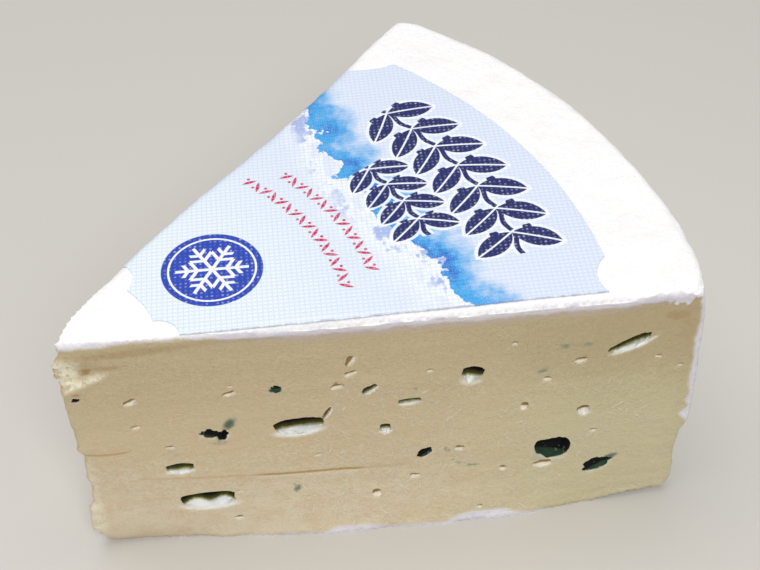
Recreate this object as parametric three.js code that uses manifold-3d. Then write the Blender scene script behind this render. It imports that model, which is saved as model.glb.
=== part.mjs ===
// A wedge cut from a wheel of soft blue cheese, with the paper label that the knife cut with it.
// Millimetres, +Z up. The wedge lies on its base, its tip points to -X and its rind faces +X.
// The origin is the middle of the base.
import * as THREE from "three";
import { mergeVertices } from "three/addons/utils/BufferGeometryUtils.js";
import Module from "manifold-3d";

// The wheel that the wedge was cut from
const wheelRadius = 91;
const wheelHeight = 46;
const topShoulder = 4.5; // rounding of the rind's upper rim
const baseShoulder = 3.5; // rounding of the rind's lower rim
const sideSwell = 0.5; // how far the side stands out at mid height

// The two knife cuts
const wedgeAngle = THREE.MathUtils.degToRad(51);
const tipRadius = 1.2; // the tip is blunt, because soft paste gives way
const farCutBow = 2; // the soft paste swells out along the second cut
const farCutBowAt = 0.15; // where that swelling is drawn from, as a share of the cut

// The paper label: a ring-shaped strip of the wheel's round label
const labelPaper = 0.15;
const glueGap = 0.05; // between the rind and the paper
const labelInnerRadius = 14.2;
const labelOuterRadius = 77.5;
const labelReveal = 0.3; // rind that shows between the paper and each cut, measured at the tip
const labelNearTurn = THREE.MathUtils.degToRad(1); // the near cut leaves more rind showing towards the side

// Scallops die-cut from the strip's corners. out: their middle, past the strip's edge; within: its distance in from the cut.
const innerScallop = { radius: 3.2, out: 0, within: 0 };
const nearOuterScallop = { radius: 5.2, out: 3, within: 4 };
const farOuterScallop = { radius: 12.1, out: 5, within: -5 };

// Mould pockets that the knife opened. along: from the tip; up: from the base; turn: degrees.
const nearPockets = [
  { along: 18, up: 9.8, long: 8, tall: 2.6, deep: 4, turn: -2 },
  { along: 14.2, up: 18.3, long: 3.6, tall: 1.2, deep: 2, turn: 0 },
  { along: 20.2, up: 24.4, long: 3.6, tall: 2, deep: 2, turn: -12 },
  { along: 32, up: 25.6, long: 6.6, tall: 2, deep: 4, turn: 6 },
  { along: 57.6, up: 33, long: 3, tall: 2.2, deep: 2.5, turn: -14 },
  { along: 80.5, up: 36.6, long: 6, tall: 1.3, deep: 2.6, turn: 24 },
  { along: 50.7, up: 15.8, long: 2.4, tall: 1.6, deep: 1.6, turn: 42 },
  { along: 70.2, up: 14, long: 5.2, tall: 3.8, deep: 4.5, turn: -14 },
  { along: 77.4, up: 8.7, long: 4.6, tall: 2, deep: 2, turn: 30 },
];
const farPockets = [
  { along: 12.5, up: 30, long: 4.5, tall: 1.5, deep: 2.4, turn: 8 },
  { along: 24, up: 13.5, long: 6.5, tall: 2.4, deep: 3.6, turn: -5 },
  { along: 31.5, up: 33.5, long: 3.2, tall: 2.2, deep: 2.4, turn: 16 },
  { along: 40, up: 21, long: 5.6, tall: 3.6, deep: 4.2, turn: -10 },
  { along: 52, up: 9.5, long: 4.2, tall: 1.6, deep: 2.2, turn: 20 },
  { along: 58.5, up: 28.5, long: 7.4, tall: 1.8, deep: 3.4, turn: -4 },
  { along: 69, up: 17, long: 3.4, tall: 2.6, deep: 2.6, turn: 34 },
  { along: 78, up: 32, long: 4.8, tall: 1.4, deep: 2.4, turn: -18 },
];

// Fineness of the round shapes
const wheelFacets = 240;
const arcFacets = 10;
const pocketFacets = { around: 14, down: 8 };
const beyond = 5; // how far a cutting shape runs past what it cuts

const wasm = await Module();
wasm.setup();

const nearHeading = -wedgeAngle / 2;
const farHeading = wedgeAngle / 2;
const heading = (angle, length = 1) => new THREE.Vector2(Math.cos(angle), Math.sin(angle)).multiplyScalar(length);
const leftOf = (angle, length) => heading(angle + Math.PI / 2, length);

function solidOf(geometry) {
  const bare = new THREE.BufferGeometry();
  bare.setAttribute("position", geometry.getAttribute("position"));
  bare.setIndex(geometry.getIndex());
  const merged = mergeVertices(bare, 1e-4);
  const triVerts = new Uint32Array(merged.getIndex().array);
  const vertProperties = merged.getAttribute("position").array;
  return new wasm.Manifold(new wasm.Mesh({ numProp: 3, vertProperties, triVerts }));
}

function geometryOf(solid) {
  const { numProp, vertProperties, triVerts } = solid.getMesh();
  const packed = new THREE.InterleavedBuffer(vertProperties, numProp);
  const geometry = new THREE.BufferGeometry();
  geometry.setAttribute("position", new THREE.InterleavedBufferAttribute(packed, 3, 0));
  geometry.setIndex(new THREE.BufferAttribute(triVerts, 1));
  const flat = geometry.toNonIndexed();
  flat.computeVertexNormals();
  return flat;
}

// An outline in plan, pulled up from the height `from` to the height `to`.
function prism(outline, from, to) {
  const geometry = new THREE.ExtrudeGeometry(outline, {
    depth: to - from,
    bevelEnabled: false,
    curveSegments: 2 * arcFacets,
  });
  return solidOf(geometry.translate(0, 0, from));
}

// The whole wheel, turned from half its section.
function wheel() {
  const half = new THREE.Path();
  half.moveTo(0, 0);
  half.lineTo(wheelRadius - baseShoulder, 0);
  half.absarc(wheelRadius - baseShoulder, baseShoulder, baseShoulder, -Math.PI / 2, 0, false);
  const sideTop = wheelHeight - topShoulder;
  half.quadraticCurveTo(wheelRadius + 2 * sideSwell, (baseShoulder + sideTop) / 2, wheelRadius, sideTop);
  half.absarc(wheelRadius - topShoulder, sideTop, topShoulder, 0, Math.PI / 2, false);
  half.lineTo(0, wheelHeight);
  const turned = new THREE.LatheGeometry(half.getPoints(arcFacets), wheelFacets);
  return solidOf(turned.rotateX(Math.PI / 2));
}

// The plan between the two knife cuts, each moved inwards by inset, and the near one turned inwards too.
function betweenCuts(inset, nearTurn) {
  const reach = wheelRadius + beyond;
  const near = nearHeading + nearTurn;
  const farControl = heading(farHeading, wheelRadius * farCutBowAt).add(leftOf(farHeading, 2 * farCutBow));
  const farTipHeading = farControl.angle();
  const halfTip = (farTipHeading - near) / 2;
  const apex = heading(near + halfTip, inset / Math.sin(halfTip));
  const centre = heading(near + halfTip, (inset + tipRadius) / Math.sin(halfTip));
  const nearStart = apex.clone().add(heading(near, tipRadius / Math.tan(halfTip)));
  const nearEnd = heading(near, reach).add(leftOf(near, inset));
  const farEnd = heading(farHeading, reach).add(leftOf(farHeading, -inset));
  farControl.add(leftOf(farTipHeading, -inset));
  const plan = new THREE.Shape();
  plan.moveTo(nearEnd.x, nearEnd.y);
  plan.lineTo(nearStart.x, nearStart.y);
  plan.absarc(centre.x, centre.y, tipRadius, near - Math.PI / 2, farTipHeading + Math.PI / 2, true);
  plan.quadraticCurveTo(farControl.x, farControl.y, farEnd.x, farEnd.y);
  plan.lineTo(wheelRadius + reach, 0); // well clear of the rind
  return plan;
}

// How far the far cut swells past its straight line, at a distance from the tip.
function farSwell(along) {
  const length = wheelRadius + beyond;
  const control = wheelRadius * farCutBowAt;
  // along = 2t(1 - t) control + t^2 length, solved for t
  const bend = length - 2 * control;
  const t = (Math.sqrt(control * control + bend * along) - control) / bend;
  return 4 * t * (1 - t) * farCutBow;
}

// A lens-shaped hollow whose widest section lies on a cut face.
function pocket({ along, up, long, tall, deep, turn }, faceHeading, swell) {
  const hollow = new THREE.SphereGeometry(1, pocketFacets.around, pocketFacets.down);
  hollow.scale(long / 2, deep, tall / 2);
  hollow.rotateY(THREE.MathUtils.degToRad(-turn));
  hollow.translate(along, swell, up);
  hollow.rotateZ(faceHeading);
  return solidOf(hollow);
}

function cheeseWedge() {
  const plan = prism(betweenCuts(0, 0), -beyond, wheelHeight + beyond);
  let wedge = wheel().intersect(plan);
  for (const hole of nearPockets) wedge = wedge.subtract(pocket(hole, nearHeading, 0));
  for (const hole of farPockets) wedge = wedge.subtract(pocket(hole, farHeading, farSwell(hole.along)));
  return wedge;
}

// A scallop's punch, at a corner of the label between one of its round edges and a cut.
function punch({ radius, out, within }, edge, faceHeading, height) {
  const side = faceHeading === nearHeading ? 1 : -1;
  const middle = heading(faceHeading, edge + out).add(leftOf(faceHeading, side * within));
  const outline = new THREE.Shape();
  outline.absarc(middle.x, middle.y, radius, 0, 2 * Math.PI, false);
  return prism(outline, 0, height);
}

function paperLabel() {
  const underside = wheelHeight + glueGap;
  const topside = underside + labelPaper;
  const past = beyond / labelInnerRadius; // the angle by which the ring runs past each cut
  const ring = new THREE.Shape();
  ring.absarc(0, 0, labelOuterRadius, nearHeading - past, farHeading + past, false);
  ring.absarc(0, 0, labelInnerRadius, farHeading + past, nearHeading - past, true);
  const above = topside + beyond;
  const sector = prism(betweenCuts(labelReveal, labelNearTurn), 0, above);
  let label = prism(ring, underside, topside).intersect(sector);
  for (const [scallop, edge, faceHeading] of [
    [innerScallop, labelInnerRadius, nearHeading],
    [innerScallop, labelInnerRadius, farHeading],
    [nearOuterScallop, labelOuterRadius, nearHeading],
    [farOuterScallop, labelOuterRadius, farHeading],
  ]) {
    label = label.subtract(punch(scallop, edge, faceHeading, above));
  }
  return label;
}

function node(name, solid, look) {
  const mesh = new THREE.Mesh(geometryOf(solid), new THREE.MeshStandardMaterial(look));
  mesh.name = name;
  return mesh;
}

const cheese = node("cheese_wedge", cheeseWedge(), { color: 0xe6dcb8, roughness: 0.6, metalness: 0 });
const label = node("paper_label", paperLabel(), { color: 0xe4ecf8, roughness: 0.55, metalness: 0 });

// The wedge is drawn from the wheel's centre, so both pieces move until the base's middle is the origin.
const box = new THREE.Box3().setFromObject(cheese);
const middle = box.getCenter(new THREE.Vector3());
for (const mesh of [cheese, label]) mesh.position.set(-middle.x, -middle.y, 0);

const wedge = new THREE.Group();
wedge.add(cheese, label);

export default wedge;
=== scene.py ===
# A wedge of soft blue cheese with a white bloomy rind and a printed paper label.
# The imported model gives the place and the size. The shapes are made in millimetres from the middle
# of the wheel that the wedge was cut from, and are put in their place at the end.
import math
import random

import bmesh
import bpy
from mathutils import Matrix, Vector, noise


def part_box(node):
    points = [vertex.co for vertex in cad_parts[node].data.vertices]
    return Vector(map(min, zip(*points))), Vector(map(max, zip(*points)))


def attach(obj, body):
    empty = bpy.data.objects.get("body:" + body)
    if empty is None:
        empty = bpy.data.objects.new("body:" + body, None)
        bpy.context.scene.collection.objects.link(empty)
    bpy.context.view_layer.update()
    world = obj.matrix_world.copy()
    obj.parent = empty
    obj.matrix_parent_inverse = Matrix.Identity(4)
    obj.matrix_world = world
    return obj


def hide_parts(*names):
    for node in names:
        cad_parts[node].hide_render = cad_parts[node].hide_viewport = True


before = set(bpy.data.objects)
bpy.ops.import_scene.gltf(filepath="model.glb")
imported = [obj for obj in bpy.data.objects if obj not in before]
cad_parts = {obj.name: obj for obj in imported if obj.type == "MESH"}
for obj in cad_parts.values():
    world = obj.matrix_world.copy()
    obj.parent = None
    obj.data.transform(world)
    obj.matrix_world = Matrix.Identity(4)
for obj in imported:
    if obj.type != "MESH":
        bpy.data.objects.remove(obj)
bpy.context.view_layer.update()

mm = 0.001
wedgeLow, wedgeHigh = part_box("cheese_wedge")
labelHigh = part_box("paper_label")[1]

# the wheel that the wedge came from
wheel = {
    "radius": 91,
    "height": (wedgeHigh.z - wedgeLow.z) / mm,
    "topShoulder": 1.4,
    "baseShoulder": 2.6,
    "belly": 91.1,  # the side's radius where it swells most
    "bellyAt": 26,
    "rimIn": 1.9,  # how far the side draws in by its upper rim
    "rimFull": 1.5,  # and how much less where the rim is fullest
    "footIn": 1.2,  # and by its foot
    "angle": math.radians(51),  # between the two knife cuts
    "tipRound": 2.4,
    "steps": 240,
    "farBow": 2,  # the paste swells out along the far cut
    "farBowAt": 0.15,  # where that swelling is drawn from, as a share of the radius
    "farWaist": 1.2,  # and is drawn in again past the middle of the cut
    "farWaistAt": 54,
    "farWaistWide": 19,
    "farFlare": 0.45,  # it flares a little by the side
}
nearHeading = -wheel["angle"] / 2
farHeading = wheel["angle"] / 2
nearAlong = Vector((math.cos(nearHeading), math.sin(nearHeading), 0))
nearIn = Vector((-nearAlong.y, nearAlong.x, 0))
farAlong = Vector((math.cos(farHeading), math.sin(farHeading), 0))
farIn = Vector((farAlong.y, -farAlong.x, 0))
up = Vector((0, 0, 1))
cuts = {"near": (nearAlong, nearIn), "far": (farAlong, farIn)}


def ease(low, high, x):
    t = min(max((x - low) / (high - low), 0), 1)
    return t * t * (3 - 2 * t)


def hump(x, middle, wide):
    # a smooth rise to 1 at its middle
    return math.exp(-(((x - middle) / wide) ** 2))


def grain(x, y, z=0.0):
    return noise.noise(Vector((x, y, z)))


def farSwell(t):
    # how far the far cut stands out past its straight line, t from the tip
    control = wheel["radius"] * wheel["farBowAt"]
    length = wheel["radius"] + 5
    bend = length - 2 * control
    share = (math.sqrt(control * control + bend * max(t, 0)) - control) / bend
    bow = 4 * share * (1 - share) * wheel["farBow"]
    waist = wheel["farWaist"] * hump(t, wheel["farWaistAt"], wheel["farWaistWide"])
    return bow - waist + wheel["farFlare"] * ease(70, 82, t)


def sideRadius(turn, z):
    # the side swells at mid height, and its upper rim is fullest a little way from the near cut
    over = (z - wheel["bellyAt"]) / (wheel["height"] - wheel["bellyAt"])
    if over < 0:
        low = z / wheel["bellyAt"] - 1
        return wheel["belly"] - wheel["footIn"] * low * low
    degrees = math.degrees(turn - nearHeading)
    full = ease(-2, 4, degrees) * (1 - 0.35 * ease(34, 47, degrees)) - 0.7 * ease(48.5, 51, degrees)
    return wheel["belly"] - (wheel["rimIn"] - wheel["rimFull"] * full) * over * over


def skinDepths(p, d, e):
    # depth under the wheel's top, side and base
    r = math.hypot(p.x, p.y)
    fromTop = wheel["height"] - p.z
    if fromTop < 4:
        fromTop += topBumps(p.x, p.y, r, d, e)
    return fromTop, sideRadius(math.atan2(p.y, p.x), p.z) - r, p.z


# the label's outline
label = {
    "paper": 0.15,
    "gap": 0.06,
    "inner": 14.2,
    "outer": 77.5,
    "reveal": 0.12,  # rind left bare beside each cut, at the tip
    "nearTurn": math.radians(0.7),  # the near cut leaves more rind bare towards the side
    "cell": 0.7,
}
# scallops die-cut from the label's corners: the edge they start from, then out past it and within the cut
scallops = (
    {"cut": "near", "edge": "inner", "out": 0, "within": 0, "radius": 3.2},
    {"cut": "far", "edge": "inner", "out": 0, "within": 0, "radius": 3.2},
    {"cut": "near", "edge": "outer", "out": 3, "within": 4, "radius": 5.2},
    {"cut": "far", "edge": "outer", "out": 5, "within": -5, "radius": 12.1},
)

# the wheel's middle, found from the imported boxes: the label's outer edge and the near cut's corner
rindReach = 91.5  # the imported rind's radius where it swells most
nearCorner = rindReach * math.sin(wheel["angle"] / 2)
centre = Vector((labelHigh.x / mm - label["outer"], wedgeLow.y / mm + nearCorner, 0))

# the cheese's surface, and the marks that the knife left on the near cut
surface = {
    "voxel": 0.575,
    "footBulge": 2.0,
    "footHeight": 13,
    "rind": 1.15,  # its thickness
    "sharp": math.radians(42),  # edges that turn more than this stay crisp
}
knife = {
    "line": 13.1,  # the long drag line's height where it has levelled out
    "lineRise": 2.7,  # how much higher it is at its start, and how soon it falls
    "lineStart": 10,
    "lineFall": 18,
    "shortLine": 22.4,  # the lowest point of the short line by the tip
    "shortMiddle": 4.5,
    "ledge": 37.3,  # the ledge under the flake that broke off by the tip, at 2 mm from the tip
    "ledgeSlope": 0.45,
}


def underLabel(r, d, e):
    # 1 where the label lies, 0 clear of it
    past = ease(label["inner"] - 1, label["inner"] + 1, r)
    short = 1 - ease(label["outer"] - 1, label["outer"] + 1, r)
    return past * short * ease(0, 1, min(d, e))


def topBumps(x, y, r, d, e):
    # the bloomy top is calm under the label, and sinks a little along both cuts
    rough = 0.2 * grain(x / 11, y / 11) + 0.1 * grain(x / 3.4, y / 3.4, 7) - 0.12
    rough += 0.05 * grain(x / 1.4, y / 1.4, 3)
    calm = 0.1 * grain(x / 15, y / 15, 2) - 0.06
    flat = underLabel(r, d, e)
    nearRim = hump(max(d, 0), 0, 0.5) * (0.1 + 0.9 * ease(24, 34, r) * (1 - ease(76, 84, r)))
    farRim = hump(max(e, 0), 0, 0.5) * ease(6, 16, r)
    return calm * flat + rough * (1 - flat) - (0.75 + 0.5 * grain(r / 5, 4)) * nearRim - 0.6 * farRim


def knifeLine(s):
    return knife["line"] + knife["lineRise"] * math.exp((knife["lineStart"] - s) / knife["lineFall"])


def ledgeLine(s):
    return knife["ledge"] + knife["ledgeSlope"] * (s - 2)


def footOut(s, z):
    # the near cut's foot sags outwards, and is drawn in by the tip
    along = ease(14, 36, s) * (1 - ease(62, 84, s))
    sag = surface["footBulge"] * along * (1 - min(max(z, 0) / surface["footHeight"], 1)) ** 2
    return sag - 0.9 * (1 - ease(6, 18, s)) * (1 - min(max(z, 0) / 4, 1)) ** 2


def chipOut(s, z):
    # a flake broken from the near cut beside the tip, over a sloping ledge
    return 0.8 * ease(0, 0.6, z - ledgeLine(s)) * (1 - ease(40.6, 42.6, z)) * (1 - ease(2.5, 7.5, s))


def nearFace(s, z):
    # how far the knife's waves, its drag marks and the rind stand out on the near cut
    height = wheel["height"]
    wave = 0.28 * grain(s / 24, z / 15) + 0.08 * grain(s / 13, z / 1.9, 5)
    wave += 0.05 * grain(s / 2.6, z / 2.2, 9)
    over = z - knifeLine(s)
    step = 0.06 * ease(-0.8, 0.8, over) * (1 - ease(0.8, 6, over)) * ease(9, 26, s) * (1 - ease(42, 50, s))
    lumps = 0.7 + 0.5 * grain(s / 3.1, 3) + 0.45 * grain(s / 1.5, z / 1.2, 77) * ease(30, 38, s)
    upperRind = 0.4 * ease(height - 1.9, height - 1.3, z) * lumps * ease(12, 24, s)
    lowerRind = 0.35 * (1 - ease(0.5, 1.3, z)) * (0.6 + 0.8 * grain(s / 4.3, 8)) * ease(12, 20, s)
    return wave + step + upperRind + lowerRind - chipOut(s, z)


def tornTip(z):
    # the tip's torn edge in side view: a lip under the top, a crumbled nose, a nick and a broken foot
    torn = 0.22 * grain(z / 2.6, 60) + 0.2 * grain(z / 1.1, 63) + 0.1
    torn += 0.1 * ease(28, 33, z) + 0.2 * ease(36, 38, z) - 1.3 * ease(42.3, 44.3, z)
    torn += 0.5 * hump(z, 24, 0.6) - 0.35 * hump(z, 21.8, 1.2)
    foot = 1.1 * (1 - ease(9.6, 10.4, z)) + 0.55 * hump(z, 5.6, 1.8)
    return torn + foot - 2.2 * (1 - min(z / 4.5, 1)) ** 2


def farFace(t, z):
    # the same on the far cut
    height = wheel["height"]
    wave = 0.3 * grain(t / 22, z / 14, 20) + 0.08 * grain(t / 12, z / 1.7, 25)
    wave += 0.035 * grain(t / 2.4, z / 2.1, 29)
    upperRind = 0.35 * ease(height - 1.9, height - 1.3, z) * (0.7 + 0.5 * grain(t / 3.3, 33))
    lowerRind = 0.3 * (1 - ease(0.5, 1.3, z)) * (0.6 + 0.8 * grain(t / 4.1, 38))
    return wave + upperRind + lowerRind


def jolt(p, size, reach):
    # a random push, the same for the same point
    q = p / size
    return Vector((grain(q.x, q.y, q.z), grain(q.y + 9, q.z, q.x), grain(q.z, q.x + 5, q.y))) * reach


def worked(p):
    # where the knife, the mould and the handling leave a point of the ideal wedge
    s, d = p.dot(nearAlong), p.dot(nearIn)
    t, e = p.dot(farAlong), p.dot(farIn)
    r = math.hypot(p.x, p.y)
    z = p.z
    height = wheel["height"]
    outwards = Vector((p.x, p.y, 0)) / max(r, 1)
    towardsFar = d / max(d + e, 0.01)
    moved = p.copy()
    moved -= farIn * farSwell(t) * (1 - ease(0, 10, e)) * ease(0.1, 0.8, towardsFar)
    moved -= nearIn * footOut(s, z) * (1 - ease(0, 9, d)) * (1 - ease(0.2, 0.9, towardsFar))
    moved -= nearIn * nearFace(s, z) * (1 - ease(0.2, 1.4, d))
    moved -= farIn * farFace(t, z) * (1 - ease(0.2, 1.4, e))
    # the barrel shape of the side, and the near corner's foot that is off the board
    turn = math.atan2(p.y, p.x)
    radius = wheel["radius"]
    moved += outwards * (sideRadius(turn, z) - radius) * ease(radius - 14, radius - 0.5, r)
    moved.z += 1.2 * ease(76, 84, s) * (1 - ease(0, 7, d)) * (1 - ease(0, 9, z))
    nick = ease(4, 11, z) * (1 - ease(14.6, 17.6, z)) * ease(84, 89, s) * (1 - ease(0, 5, d))
    moved -= outwards * 0.7 * nick
    # the rind's bloom
    onTop = 1 - ease(0.1, 1.2, height - z)
    moved.z += onTop * topBumps(p.x, p.y, r, d, e)
    onBase = 1 - ease(0.1, 1.2, z)
    moved.z += onBase * (0.22 + 0.2 * grain(p.x / 9, p.y / 9, 40)) * ease(0.5, 5, min(d, e))
    onSide = 1 - ease(0.2, 1.5, radius - r)
    if onSide > 0:
        run = turn * radius
        swell = 0.3 * grain(run / 9, z / 7, 50) + 0.16 * grain(run / 3.1, z / 2.4, 53)
        swell += 0.07 * grain(run / 1.3, z / 1.2, 57)
        moved += outwards * onSide * (swell - 0.1)
    atTip = math.exp(-max(s - 0.8, 0) / 1.8)
    if atTip > 0.03:
        moved.x -= atTip * tornTip(z)
    crumbly = atTip * ease(36, 37.5, z) * (1 - ease(42, 43.2, z))
    crumbly = max(crumbly, 0.55 * ease(82, 86, s) * ease(41, 43.5, z) * (1 - ease(1, 3, d)))
    if crumbly > 0.03:
        moved += (jolt(p, 1.5, 0.75) + jolt(p, 0.8, 0.5)) * crumbly
    return moved


def pocket(along, up, long, tall, deep, turn, white, mould, **shape):
    # along from the tip, up from the base, turn in degrees; white is the pale sill's share of the height,
    # and mould goes from 0, none, to 1.6, black
    place = {"along": along, "up": up, "long": long, "tall": tall, "deep": deep, "turn": turn}
    # a roof below 1 is flatter, taper narrows the floor and lobes heave it, rough is how uneven the wall is
    usual = {"roof": 1, "taper": 0, "lobes": 0, "rough": 0.18}
    return {**place, "white": white, "mould": mould, **usual, **shape}


# hollows in the two cut faces
nearHollows = [
    pocket(17.9, 9.3, 8.4, 3.8, 4.4, -1, 0.52, 0.8, roof=0.35, lobes=2),
    pocket(14.3, 17.8, 3.9, 2.2, 2.4, 0, 0.42, 0.6, roof=0.45),
    pocket(19.3, 24.8, 2.8, 1.7, 1.8, -18, 0.2, 1.5, rough=0.5),
    pocket(21.2, 24.2, 2.4, 1.7, 1.8, 62, 0.15, 1.5, rough=0.5),
    pocket(32.1, 24.7, 7, 3.7, 4.6, 4, 0.46, 0.9, roof=0.4, rough=0.25),
    pocket(36.4, 27, 3.2, 0.8, 1.1, 66, 0.5, 0.1),
    pocket(57.5, 32.4, 3.2, 3.7, 3, -10, 0.5, 0.7, roof=0.4, taper=0.7),
    pocket(80.3, 36.3, 6.6, 2.2, 2.6, 26, 0.52, 0.6, roof=0.6, rough=0.3),
    pocket(50.7, 15.8, 2.8, 1.7, 1.8, 45, 0.35, 1.5),
    pocket(70.4, 13.9, 5.5, 5.1, 5, -15, 0.4, 1.6, roof=0.8, rough=0.2),
    pocket(77.5, 8.9, 4.8, 2.7, 1.4, 32, 0.35, 1.6, rough=0.35),
    pocket(44.9, 22.3, 1.7, 2.1, 1.8, 0, 0.55, 0.4, roof=0.5),
    pocket(48.5, 28, 3.6, 1.2, 1.6, 3, 0.5, 0.8, roof=0.4),
    pocket(42.7, 31.6, 2.8, 1.2, 1.6, 40, 0.45, 1),
    pocket(74.5, 22.3, 1.9, 2.1, 1.2, 14, 0.56, 0.1, roof=0.5, taper=0.3),
    pocket(29.4, 33.4, 1.7, 1.5, 0.9, 0, 0.6, 1.4, rough=0.5),
    pocket(1.8, 34.8, 1.2, 0.9, 0.8, 20, 0, 1.5, rough=0.5),
]
farHollows = [
    pocket(12.5, 30, 4.5, 1.9, 2.4, 8, 0.55, 0.6, roof=0.5),
    pocket(24, 13.5, 6.5, 3.4, 3.8, -5, 0.5, 0.9, roof=0.4),
    pocket(31.5, 33.5, 3.2, 2.4, 2.4, 16, 0.3, 1.5, rough=0.4),
    pocket(40, 21, 5.6, 4.4, 4.4, -10, 0.35, 1.6, roof=0.8),
    pocket(52, 9.5, 4.2, 2.1, 2.2, 20, 0.5, 0.8),
    pocket(58.5, 28.5, 7.4, 3.2, 3.6, -4, 0.6, 0.9, roof=0.4, lobes=2),
    pocket(69, 17, 3.4, 2.8, 2.6, 34, 0.3, 1.5, taper=0.4),
    pocket(78, 32, 4.8, 1.9, 2.4, -18, 0.55, 0.6, roof=0.5, rough=0.3),
]

# shallow dents, each (along, up, long, tall, turn), that the knife left beside the hollows
nearDents = [
    (69.2, 10.4, 3.4, 1.7, 4), (8.9, 33.3, 2.4, 1.3, 28), (22.8, 33.3, 2.2, 1, 20),
    (40.2, 38, 2.4, 1.2, 62), (40.1, 35.3, 2.2, 1.1, 22), (38.1, 32.8, 2.1, 1.2, 14),
    (9.1, 27.8, 1.6, 0.8, 10), (13.4, 22.7, 1.6, 0.8, 0), (65.5, 24.4, 1.3, 1.7, -8),
    (68.5, 30.1, 1.8, 1, 0), (73.1, 33.6, 2.1, 1.2, 12), (51.4, 34.3, 1.1, 0.8, 0),
    (63.4, 38.4, 1, 0.8, 0), (56, 16.2, 1.8, 1.2, 0), (49.3, 10.6, 1.9, 1.1, 0),
    (62.9, 10.4, 1.4, 1.1, 0), (43.3, 7.4, 1.6, 1.6, 12), (21.9, 4.3, 1.7, 1, 0),
    (59.3, 2.6, 1.3, 0.9, 0), (84.6, 32.8, 1.2, 0.8, 0), (76.4, 17.3, 1.2, 0.9, 0),
    (23.2, 34.9, 1, 0.5, 0), (34.8, 17.6, 1.3, 0.6, 20), (22.5, 10.7, 1.4, 0.5, 24),
    (88, 30.5, 0.9, 0.7, 0),
]
# mould that shows on the cut without a hollow: (along, up, long, tall, turn, strength)
nearStains = [
    (22.3, 26.6, 3.4, 1.8, 62, 1), (20.6, 22.7, 3.6, 1.8, 0, 0.5), (13.6, 22.2, 2.6, 2.2, 0, 0.35),
    (14.1, 20.8, 1.6, 1.3, 0, 0.35), (31.3, 10, 1.5, 2.1, -16, 0.8), (30.4, 11.3, 2, 0.8, -30, 0.4),
    (31.6, 12.6, 2.2, 0.8, 12, 0.35), (67.7, 31.9, 2, 1.1, 24, 0.8), (70.6, 36.9, 2.2, 1.4, -10, 0.65),
    (73.8, 36.9, 3.6, 1.2, 0, 0.55), (79.6, 10.4, 3, 1.5, 28, 0.9), (54.1, 16.1, 1, 2, 30, 0.7),
    (55.6, 13, 2.6, 0.8, -44, 0.65), (58, 11.9, 3.6, 0.8, -14, 0.65), (1.8, 34.8, 1.4, 1, 20, 1),
    (49.4, 30.6, 1.1, 0.9, 0, 0.7), (43.3, 7.6, 1.6, 1.2, 0, 0.3), (70.4, 39, 2, 1, 0, 0.3),
    (68.6, 12.3, 3.4, 3, 0, 0.55), (24, 9.8, 2.4, 1, 0, 0.2), (29.4, 33.3, 2, 1.7, 0, 1),
    (78.5, 38.3, 7, 1, 0, 0.2), (42.9, 37.6, 1, 1.2, 0, 0.3),
]
# tan patches, and painted shade along the upper rims of some dents, in the same way
nearTansAndDentShade = [
    (3.6, 39.8, 2, 1.3, 20, 1.5), (6.5, 40.8, 8, 1.3, 4, 0.6), (10, 43.4, 22, 2, 2, 0.6),
    (2, 36, 1.8, 0.6, 12, 1), (86.3, 41.2, 5, 2.4, -6, 0.6), (80, 43, 12, 1.6, 0, 0.35),
    (38, 33.5, 0.7, 0.9, 30, 1.2), (9.2, 33.8, 1.6, 0.5, 30, 0.9), (88, 38, 3, 8, 0, 0.35),
    (22.4, 33.2, 1.4, 0.5, 20, 0.9), (65.4, 25, 1, 0.8, 0, 0.8), (13.7, 10, 0.8, 1, 0, 1),
    (73.4, 34.2, 1.6, 0.5, 10, 0.8), (68.5, 30.6, 1.2, 0.4, 0, 0.7), (25.5, 23.7, 2, 0.4, 0, 0.5),
    (17, 22.3, 20, 0.4, 0, 0.3),
]
farStains = [
    (40, 20, 7, 5, 0, 0.5), (35, 24, 3, 1.6, 40, 0.5), (64, 36, 3, 1.4, 0, 0.45),
    (24, 12, 8, 3.4, 0, 0.35), (17, 20, 2.4, 1.6, 30, 0.5), (69, 18.5, 4.4, 3, 30, 0.55),
    (48, 36.5, 2.2, 1.2, 0, 0.4), (81, 12, 2.8, 1.8, -20, 0.5), (60, 8, 2, 1.4, 0, 0.35),
    (8, 12, 2, 1.4, 0, 0.35), (30, 34.5, 3.4, 2, 20, 0.5), (73, 27, 2.2, 1, 10, 0.4),
]
hollowStyle = {
    "around": 44,
    "down": 24,
    "dentAround": 20,
    "dentDown": 12,
    "dentDeep": 0.36,
    "dentWhite": 0.55,
    "dentBloomAndLight": 0.3,
    "farDents": 24,
    "farSeed": 11,
}


def farDentList():
    # small dents strewn clear of the hollows and of each other
    dice = random.Random(hollowStyle["farSeed"])
    found = []
    while len(found) < hollowStyle["farDents"]:
        along, high = dice.uniform(7, 86), dice.uniform(4, 40)
        clear = all(math.hypot(along - h["along"], high - h["up"]) > 4.5 for h in farHollows)
        clear = clear and all(math.hypot(along - f[0], high - f[1]) > 4 for f in found)
        if clear:
            long = dice.uniform(1.1, 2.3)
            found.append((along, high, long, long * dice.uniform(0.4, 0.7), dice.uniform(-30, 40)))
    return found


farDents = farDentList()


def openingsOf(hollows, dents):
    # each opening's size, turn, place, its pale sill's share of its height, its mould and lobes, and its
    # bloom, the white under its sill, partly painted light
    found = []
    for h in hollows:
        sizes = (h["long"], h["tall"], math.radians(h["turn"]))
        bloom = 0.75 - 0.4 * h["taper"] if h["mould"] < 1.2 else 0.3
        found.append((*sizes, h["along"], h["up"], h["white"], h["mould"], h["lobes"], bloom))
    pale, bloom = hollowStyle["dentWhite"], hollowStyle["dentBloomAndLight"]
    for along, high, long, tall, turn in dents:
        found.append((long, tall, math.radians(turn), along, high, pale, 0, 0, bloom))
    return found


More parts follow.
